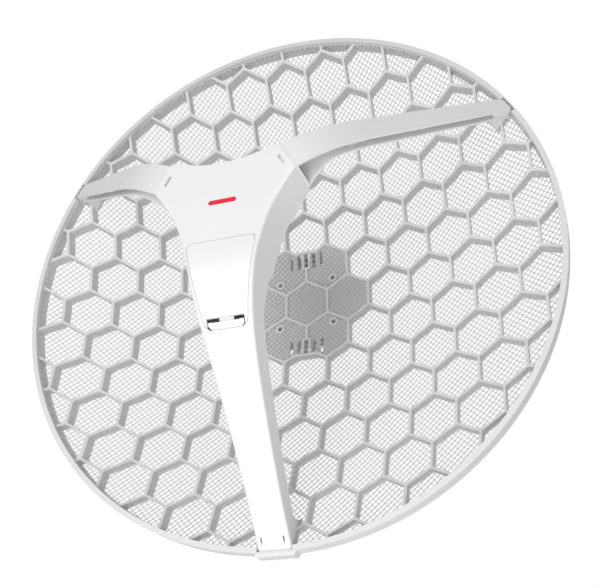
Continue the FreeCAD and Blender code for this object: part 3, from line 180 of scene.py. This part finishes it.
def circuit_board(name):
    """Green solder mask with copper tracks showing through as a paler green."""
    material, nodes, links, shader = new_material(name)
    coordinates = nodes.new("ShaderNodeTexCoord")
    upright = nodes.new("ShaderNodeMapping")
    upright.inputs["Rotation"].default_value = (math.radians(90), 0, 0)
    bricks = nodes.new("ShaderNodeTexBrick")
    bricks.inputs["Scale"].default_value = 260
    bricks.inputs["Mortar Size"].default_value = 0.03
    bricks.inputs["Color1"].default_value = (0.012, 0.13, 0.05, 1)
    bricks.inputs["Color2"].default_value = (0.015, 0.17, 0.065, 1)
    bricks.inputs["Mortar"].default_value = (0.05, 0.3, 0.12, 1)
    links.new(coordinates.outputs["Object"], upright.inputs["Vector"])
    links.new(upright.outputs["Vector"], bricks.inputs["Vector"])
    links.new(bricks.outputs["Color"], shader.inputs["Base Color"])
    links.new(spread(nodes, links, noise(nodes, links, 300), 0.25, 0.4),
              shader.inputs["Roughness"])
    return material


WHITE = (0.88, 0.88, 0.88)
# The grid is the same white plastic as the head; its darker colour here is painted shade,
# standing in for the shade inside the deep grid cells.
GRID_WHITE_PAINTED_SHADE = (0.74, 0.74, 0.74)

MATERIALS = {
    # Painted shade: the grid's white plastic is given a darker colour than the head's.
    "grid_plastic": moulded("grid_plastic", GRID_WHITE_PAINTED_SHADE, (0.45, 0.6), 1100, 0.00003, 0.02),
    "mesh_wire": coated("mesh_wire", (0.55, 0.55, 0.55), (0.4, 0.55)),
    "white_plastic": moulded("white_plastic", WHITE, (0.3, 0.4), 800, 0.00001, 0.01),
    "seal_rubber": rubber("seal_rubber", (0.02, 0.02, 0.022)),
    "stainless": metal("stainless", (0.6, 0.6, 0.59), (0.2, 0.38), 500, (1, 1, 12)),
    "board_green": circuit_board("board_green"),
    "tinned_steel": metal("tinned_steel", (0.68, 0.69, 0.7), (0.15, 0.3), 300),
    "black_plastic": moulded("black_plastic", (0.03, 0.03, 0.032), (0.35, 0.5)),
    "gold_contact": metal("gold_contact", (0.9, 0.66, 0.25), (0.15, 0.25)),
    "button_grey": moulded("button_grey", (0.2, 0.21, 0.23)),
    "led_lens": moulded("led_lens", (0.8, 0.86, 0.76), (0.08, 0.15)),
    "feed_metal": metal("feed_metal", (0.72, 0.73, 0.74), (0.3, 0.45), 700, (1, 1, 20)),
    "feed_brass": metal("feed_brass", (0.76, 0.56, 0.24), (0.25, 0.4), 700, (1, 1, 20)),
    "nylon": moulded("nylon", (0.8, 0.79, 0.72)),
    "bracket_metal": coated("bracket_metal", (0.62, 0.63, 0.64)),
    "saddle_alloy": metal("saddle_alloy", (0.55, 0.56, 0.57), (0.45, 0.62), 1200, (1, 1, 1),
                          0.00012),
    "zinc_steel": metal("zinc_steel", (0.62, 0.62, 0.6), (0.25, 0.42), 600),
}

for part in frame["record"]["subparts"]:
    materials = frame["nodes"][part["node"]].data.materials
    materials.clear()
    materials.append(MATERIALS[part["material_slot"]])

# ---------------------------------------------------------------- mesh helpers


def place_piece(name, mesh, slot, body, material=None):
    """Puts a mesh in the scene as a smooth-shaded piece of a body."""
    piece = bpy.data.objects.new(name, mesh)
    bpy.context.collection.objects.link(piece)
    mesh.polygons.foreach_set("use_smooth", [True] * len(mesh.polygons))
    mesh.materials.append(material or MATERIALS[slot])
    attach(piece, body)
    return piece


def bowl_point(x, z, setback):
    """A point of the paraboloid at X and Z from its axis, a setback behind its front."""
    y = VERTEX_Y + setback - (x * x + z * z) / (4 * FOCAL_LENGTH)
    return Vector((x, y, z + VERTEX_Z))


# ---------------------------------------------------------------- wire mesh

WIRE_PITCH = 0.0042
WIRE_RADIUS = 0.00038
WIRE_STEP = 0.011
WIRE_SIDES = 4
WIRE_EDGE = 0.001


def wire_layer(name, heading, setback):
    """Parallel wires across the bowl, all at one angle about the dish's axis."""
    vertices = []
    faces = []
    along = Vector((math.cos(heading), 0, math.sin(heading)))
    across = Vector((-math.sin(heading), 0, math.cos(heading)))
    reach = MESH_RADIUS - WIRE_EDGE
    count = int(reach / WIRE_PITCH)
    for index in range(-count, count + 1):
        offset = index * WIRE_PITCH
        half = math.sqrt(max(reach ** 2 - offset ** 2, 0))
        steps = max(2, int(2 * half / WIRE_STEP))
        first = len(vertices)
        for step in range(steps + 1):
            spot = along * (half * (2 * step / steps - 1)) + across * offset
            centre = bowl_point(spot.x, spot.z, setback)
            for side in range(WIRE_SIDES):
                angle = 2 * math.pi * (side + 0.5) / WIRE_SIDES
                rise = across * math.cos(angle) + Vector((0, math.sin(angle), 0))
                vertices.append(centre + WIRE_RADIUS * rise)
        for step in range(steps):
            base = first + step * WIRE_SIDES
            for side in range(WIRE_SIDES):
                after = (side + 1) % WIRE_SIDES
                faces.append((base + side, base + after, base + after + WIRE_SIDES,
                              base + side + WIRE_SIDES))
        last = first + steps * WIRE_SIDES
        faces.append(tuple(first + side for side in reversed(range(WIRE_SIDES))))
        faces.append(tuple(last + side for side in range(WIRE_SIDES)))
    mesh = bpy.data.meshes.new(name)
    mesh.from_pydata(vertices, [], faces)
    mesh.validate()
    return place_piece(name, mesh, "mesh_wire", "antenna")


front_wires = wire_layer("mesh_front_wires", math.radians(45), MESH_SETBACK)
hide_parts("reflector_mesh")
wire_layer("mesh_rear_wires", math.radians(-45), MESH_SETBACK + WIRE_RADIUS * 1.2)

# ---------------------------------------------------------------- turned and pressed metal

TURN_STEPS = 24
SHARP_FROM = 32
REARWARD = Vector((0, 1, 0))
ACROSS = Vector((1, 0, 0))
MM = 0.001


def ring(form, centre, axis, radius_at, height, fall_at=lambda angle: 0.0):
    """A ring of points about an axis, at a height along it less a fall at each angle."""
    side = axis.orthogonal().normalized()
    other = axis.cross(side)
    points = []
    for step in range(TURN_STEPS):
        angle = 2 * math.pi * step / TURN_STEPS
        reach = radius_at(angle)
        level = height - fall_at(angle)
        points.append(form.verts.new(centre + axis * level + side * (reach * math.cos(angle))
                                     + other * (reach * math.sin(angle))))
    return points


def bridge(form, low, high):
    """Faces between two rings with the same number of points."""
    for step in range(len(low)):
        after = (step + 1) % len(low)
        form.faces.new((low[step], low[after], high[after], high[step]))


def turn(form, centre, axis, profile):
    """A turned shape from (radius, height) pairs, closed at its foot; returns its top ring."""
    rings = [ring(form, centre, axis, lambda angle, r=radius: r, height)
             for radius, height in profile]
    for low, high in zip(rings, rings[1:]):
        bridge(form, low, high)
    form.faces.new(list(reversed(rings[0])))
    return rings[-1]


def hex_reach(radius):
    """Distance from the middle to a hexagon's edge, at an angle."""
    sector = math.radians(60)
    return lambda angle: (radius * math.cos(sector / 2)
                          / math.cos((angle + sector / 2) % sector - sector / 2))


def finish_form(name, form, slot, body, replaced=None, material=None):
    """Turns a form into a piece with sharp edges, standing for a CAD node if one is named."""
    mesh = bpy.data.meshes.new(name)
    bmesh.ops.recalc_face_normals(form, faces=form.faces[:])
    form.to_mesh(mesh)
    form.free()
    piece = place_piece(name, mesh, slot, body, material)
    mesh.set_sharp_from_angle(angle=math.radians(SHARP_FROM))
    if replaced:
        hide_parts(replaced)


def cross_recess(form, top, centre, axis, height, size, depth):
    """Closes the top of a screw head with a cross recess sunk into it."""
    side = axis.orthogonal().normalized()
    other = axis.cross(side)
    slim = size * 0.24
    taper = 0.72
    outline = [(size, -slim), (size, slim), (slim, slim), (slim, size), (-slim, size),
               (-slim, slim), (-size, slim), (-size, -slim), (-slim, -slim), (-slim, -size),
               (slim, -size), (slim, -slim)]
    mouth = [form.verts.new(centre + axis * height + side * u + other * v) for u, v in outline]
    root = [form.verts.new(centre + axis * (height - depth) + side * (u * taper)
                           + other * (v * taper)) for u, v in outline]
    bridge(form, mouth, root)
    form.faces.new(root)
    rim_edges = [form.edges.get((top[step - 1], top[step])) for step in range(len(top))]
    mouth_edges = [form.edges.get((mouth[step - 1], mouth[step])) for step in range(len(mouth))]
    bmesh.ops.triangle_fill(form, use_beauty=True, edges=rim_edges + mouth_edges)


def pan_screw(form, centre, axis, shank, length, head, height):
    """A pan-head screw: the head's seat is at centre and the head stands up along axis."""
    profile = [(shank * 0.3, -length), (shank, -length + shank), (shank, 0), (head, 0),
               (head, height * 0.42), (head * 0.95, height * 0.68), (head * 0.84, height * 0.88),
               (head * 0.66, height)]
    top = turn(form, centre, axis, profile)
    cross_recess(form, top, centre, axis, height, head * 0.46, height * 0.6)


def corner_places(node, head, lower_share):
    """Screw centres at the corners of a node's box; the lower pair may stand closer."""
    low, high = box_corners(node)
    x = high.x - head
    return [(side * x * share, z) for side in (-1, 1)
            for z, share in ((low.z + head, lower_share), (high.z - head, 1.0))]


def screw_group(name, node, head, height, shank, length, lower_share=1.0):
    """The four screws of one CAD node, head to the rear: head's radius and height, shank's
    radius and length."""
    seat_y = box_corners(node)[1].y - height
    form = bmesh.new()
    for x, z in corner_places(node, head, lower_share):
        pan_screw(form, Vector((x, seat_y, z)), REARWARD, shank, length, head, height)
    finish_form(name, form, "stainless", "antenna", node)


COVER_LOWER_SHARE = 22 / 38

screw_group("bracket_pan_screws", "bracket_screws", 4.6 * MM, 3 * MM, 2.4 * MM, 12.3 * MM)
screw_group("cover_pan_screws", "cover_screws", 2.9 * MM, 1.7 * MM, 1.45 * MM, 11.8 * MM,
            COVER_LOWER_SHARE)
screw_group("board_pan_screws", "board_screws", 2.6 * MM, 1.9 * MM, 1.2 * MM, 8.8 * MM)


def hex_block(form, centre, axis, radius, height, bore=0.0):
    """A hexagon head or nut with its corners turned down on the outer face."""
    reach = hex_reach(radius)
    face_radius = radius * math.cos(math.radians(30)) * 0.95
    low = ring(form, centre, axis, reach, 0)
    shoulder = ring(form, centre, axis, reach, height,
                    lambda angle: (reach(angle) - face_radius) * 0.5)
    crown = ring(form, centre, axis, lambda angle: face_radius, height)
    bridge(form, low, shoulder)
    bridge(form, shoulder, crown)
    if not bore:
        form.faces.new(list(reversed(low)))
        form.faces.new(crown)
        return
    mouth = ring(form, centre, axis, lambda angle: bore * 1.12, height)
    throat = ring(form, centre, axis, lambda angle: bore, height - bore * 0.2)
    foot = ring(form, centre, axis, lambda angle: bore, 0)
    for inner, outer in ((crown, mouth), (mouth, throat), (throat, foot), (foot, low)):
        bridge(form, inner, outer)


def threaded_rod(form, centre, axis, radius, end, plain_until, pitch):
    """A bolt shank: plain next to the head, then with thread grooves to a chamfered tip."""
    profile = [(radius, 0), (radius, plain_until)]
    height = plain_until
    while height + pitch < end - radius * 0.3:
        profile += [(radius * 0.86, height + pitch * 0.5), (radius, height + pitch)]
        height += pitch
    profile.append((radius * 0.75, end))
    form.faces.new(turn(form, centre, axis, profile))


BOLT_RADIUS = 3 * MM
THREAD_RADIUS = BOLT_RADIUS * 0.97
THREAD_PITCH = 1 * MM
PLAIN_SHANK = 34 * MM
HEX_RADIUS = 5.77 * MM
HEAD_HEIGHT = 4 * MM
NUT_HEIGHT = 5.2 * MM


def tilt_hardware():
    """Two bolts through the cheeks, with their nuts."""
    low, high = box_corners("tilt_bolts")
    nut_x = box_corners("tilt_nuts")[0].x
    middle_y = (low.y + high.y) / 2
    bolts = bmesh.new()
    nuts = bmesh.new()
    for z in (low.z + HEX_RADIUS, high.z - HEX_RADIUS):
        seat = Vector((low.x + HEAD_HEIGHT, middle_y, z))
        hex_block(bolts, seat, -ACROSS, HEX_RADIUS, HEAD_HEIGHT)
        threaded_rod(bolts, seat, ACROSS, THREAD_RADIUS, high.x - seat.x, PLAIN_SHANK,
                     THREAD_PITCH)
        hex_block(nuts, Vector((nut_x, middle_y, z)), ACROSS, HEX_RADIUS, NUT_HEIGHT,
                  BOLT_RADIUS)
    finish_form("tilt_hex_bolts", bolts, "zinc_steel", "mast_mount", "tilt_bolts")
    finish_form("tilt_hex_nuts", nuts, "zinc_steel", "mast_mount", "tilt_nuts")


tilt_hardware()

# ---------------------------------------------------------------- hose clamps

MAST_RADIUS = 25 * MM
BAND_THICKNESS = 0.8 * MM
BAND_HEIGHT = 10 * MM
SLOT_PITCH = 3.1 * MM
SLOT_SLANT = 0.14
SLOT_FROM_Y = 6 * MM
BAND_FRONT_Y = -27 * MM
ARC_STEPS = 90
BAND_LEVELS = (-0.5, -0.3, 0.3, 0.5)


def band_path(offset):
    """Corners and arc of one face of a band, from the saddle's middle round the mast."""
    corner_x = box_corners("clamp_bands")[1].x - BAND_THICKNESS
    span = math.hypot(corner_x, BAND_FRONT_Y)
    touch = math.atan2(BAND_FRONT_Y, corner_x) + math.acos(MAST_RADIUS / span)
    radius = MAST_RADIUS + offset
    points = [(0.0, BAND_FRONT_Y - offset), (corner_x + offset, BAND_FRONT_Y - offset)]
    for step in range(ARC_STEPS + 1):
        angle = touch + (math.pi - 2 * touch) * step / ARC_STEPS
        points.append((radius * math.cos(angle), radius * math.sin(angle)))
    points += [(-corner_x - offset, BAND_FRONT_Y - offset), (0.0, BAND_FRONT_Y - offset)]
    return points


def walk(points, spacing):
    """Points along a path at even distances."""
    lengths = [math.dist(a, b) for a, b in zip(points, points[1:])]
    total = sum(lengths)
    count = int(total / spacing)
    spots = []
    for step in range(count):
        target = total * step / count
        index = 0
        while target > lengths[index]:
            target -= lengths[index]
            index += 1
        share = target / lengths[index]
        a, b = points[index], points[index + 1]
        spots.append((a[0] + (b[0] - a[0]) * share, a[1] + (b[1] - a[1]) * share))
    return spots


def slotted_band(form, middle):
    """A steel band whose slanted slots, behind the mast, take the worm's thread."""
    half_step = SLOT_PITCH / 2
    layers = [walk(band_path(offset), half_step) for offset in (0.0, BAND_THICKNESS * 0.98)]
    count = min(len(layer) for layer in layers) // 2 * 2
    grid = []
    for layer in layers:
        columns = []
        for step in range(count):
            x, y = layer[step]
            after_x, after_y = layer[(step + 1) % count]
            column = []
            for level in BAND_LEVELS:
                slant = (level * BAND_HEIGHT * SLOT_SLANT / half_step) if y > 0 else 0.0
                column.append(form.verts.new((x + (after_x - x) * slant,
                                              y + (after_y - y) * slant,
                                              middle + level * BAND_HEIGHT)))
            columns.append(column)
        grid.append(columns)
    inner, outer = grid
    for step in range(count):
        after = (step + 1) % count
        rearward = min(layers[1][step][1], layers[1][after][1]) > SLOT_FROM_Y
        open_slot = step % 2 == 0 and rearward
        for row in range(3):
            if open_slot and row == 1:
                quad = [(step, 1), (after, 1), (after, 2), (step, 2)]
                for (s0, r0), (s1, r1) in zip(quad, quad[1:] + quad[:1]):
                    form.faces.new((outer[s0][r0], outer[s1][r1], inner[s1][r1], inner[s0][r0]))
                continue
            form.faces.new((outer[step][row], outer[after][row], outer[after][row + 1],
                            outer[step][row + 1]))
            form.faces.new((inner[step][row + 1], inner[after][row + 1], inner[after][row],
                            inner[step][row]))
        for row in (0, 3):
            form.faces.new((outer[step][row], inner[step][row], inner[after][row],
                            outer[after][row]))


def hose_clamps():
    """The two slotted bands round the mast."""
    low, high = box_corners("clamp_bands")
    form = bmesh.new()
    for middle in (low.z + BAND_HEIGHT / 2, high.z - BAND_HEIGHT / 2):
        slotted_band(form, middle)
    finish_form("slotted_bands", form, "stainless", "mast_mount", "clamp_bands")


hose_clamps()

# ---------------------------------------------------------------- accent on the head

ACCENT_RED = (0.83, 0.012, 0.045)
ACCENT_HALF_LENGTH = 13 * MM
ACCENT_HALF_HEIGHT = 2.2 * MM
ACCENT_END_STEPS = 10
ACCENT_PROUD = 0.08 * MM
ACCENT_SUNK = 0.08 * MM


def accent_bar():
    """A plain red bar with round ends, slightly proud of the head's front face."""
    face_y = box_corners("head_shell")[0].y
    centre = Vector((0, face_y, VERTEX_Z - 4 * MM))
    form = bmesh.new()
    outline = []
    for end, half_turn in ((1, 0.0), (-1, math.pi)):
        middle_x = (ACCENT_HALF_LENGTH - ACCENT_HALF_HEIGHT) * end
        for step in range(ACCENT_END_STEPS + 1):
            angle = math.radians(-90 + 180 * step / ACCENT_END_STEPS) + half_turn
            outline.append((middle_x + ACCENT_HALF_HEIGHT * math.cos(angle),
                            ACCENT_HALF_HEIGHT * math.sin(angle)))
    front = [form.verts.new(centre + Vector((x, -ACCENT_PROUD, z))) for x, z in outline]
    back = [form.verts.new(centre + Vector((x, ACCENT_SUNK, z))) for x, z in outline]
    form.faces.new(front)
    form.faces.new(list(reversed(back)))
    bridge(form, front, back)
    finish_form("accent_bar", form, "white_plastic", "antenna",
                material=moulded("accent_red", ACCENT_RED, (0.35, 0.45), 900, 0.00001))


accent_bar()

# ---------------------------------------------------------------- camera, light and floor

AIM = Vector((0.0023, VERTEX_Y - 0.028, VERTEX_Z - 0.0022))
CAMERA_AZIMUTH = math.radians(19.44)
CAMERA_ELEVATION = math.radians(-26.47)
CAMERA_DISTANCE = 1.0
CAMERA_LENS = 58.56
SENSOR_WIDTH = 36
FLOOR_Z = -1.7
FLOOR_HALF = 12.0
FLOOR_LOW = (0.9, 0.9, 0.9)
FLOOR_HIGH = (0.93, 0.93, 0.93)
BACKDROP = 1.0
AMBIENT = 0.48
# name, place, width in metres, watts
LAMPS = (
    ("key", (-0.35, -2.7, -0.3), 1.5, 24),
    ("bounce", (0.2, -0.7, -1.0), 1.2, 6),
    ("rear_left", (-1.3, 2.2, 1.2), 1.5, 9),
    ("rear_right", (0.9, 2.4, 1.4), 1.5, 7),
)


def look_at(thing, target):
    thing.rotation_euler = (target - thing.location).to_track_quat("-Z", "Y").to_euler()


def add_camera():
    data = bpy.data.cameras.new("camera")
    data.lens = CAMERA_LENS
    data.sensor_width = SENSOR_WIDTH
    camera = bpy.data.objects.new("camera", data)
    flat = math.cos(CAMERA_ELEVATION)
    camera.location = AIM + CAMERA_DISTANCE * Vector((
        flat * math.sin(CAMERA_AZIMUTH), -flat * math.cos(CAMERA_AZIMUTH),
        math.sin(CAMERA_ELEVATION)))
    look_at(camera, AIM)
    bpy.context.collection.objects.link(camera)
    bpy.context.scene.camera = camera


def add_lamp(name, place, width, watts):
    """A square area lamp that faces the antenna."""
    data = bpy.data.lights.new(name, "AREA")
    data.size = width
    data.energy = watts
    lamp = bpy.data.objects.new(name, data)
    lamp.location = place
    look_at(lamp, AIM)
    bpy.context.collection.objects.link(lamp)


def add_floor():
    mesh = bpy.data.meshes.new("floor")
    corners = [(x * FLOOR_HALF, y * FLOOR_HALF, FLOOR_Z)
               for x, y in ((-1, -1), (1, -1), (1, 1), (-1, 1))]
    mesh.from_pydata(corners, [], [(0, 1, 2, 3)])
    floor = bpy.data.objects.new("floor", mesh)
    material, nodes, links, shader = new_material("pale_floor")
    links.new(ramp(nodes, links, noise(nodes, links, 3), FLOOR_LOW, FLOOR_HIGH),
              shader.inputs["Base Color"])
    shader.inputs["Roughness"].default_value = 0.7
    mesh.materials.append(material)
    bpy.context.collection.objects.link(floor)


def add_sky():
    """A white backdrop for the eye, and a dimmer even light for the object."""
    world = bpy.data.worlds.new("studio")
    world.use_nodes = True
    nodes = world.node_tree.nodes
    links = world.node_tree.links
    backdrop = nodes["Background"]
    backdrop.inputs["Color"].default_value = (1, 1, 1, 1)
    rays = nodes.new("ShaderNodeLightPath")
    level = nodes.new("ShaderNodeMapRange")
    level.inputs["To Min"].default_value = AMBIENT
    level.inputs["To Max"].default_value = BACKDROP
    links.new(rays.outputs["Is Camera Ray"], level.inputs["Value"])
    links.new(level.outputs["Result"], backdrop.inputs["Strength"])
    bpy.context.scene.world = world


add_camera()
add_sky()
add_floor()
for lamp_settings in LAMPS:
    add_lamp(*lamp_settings)
bpy.context.scene.view_settings.view_transform = "Standard"
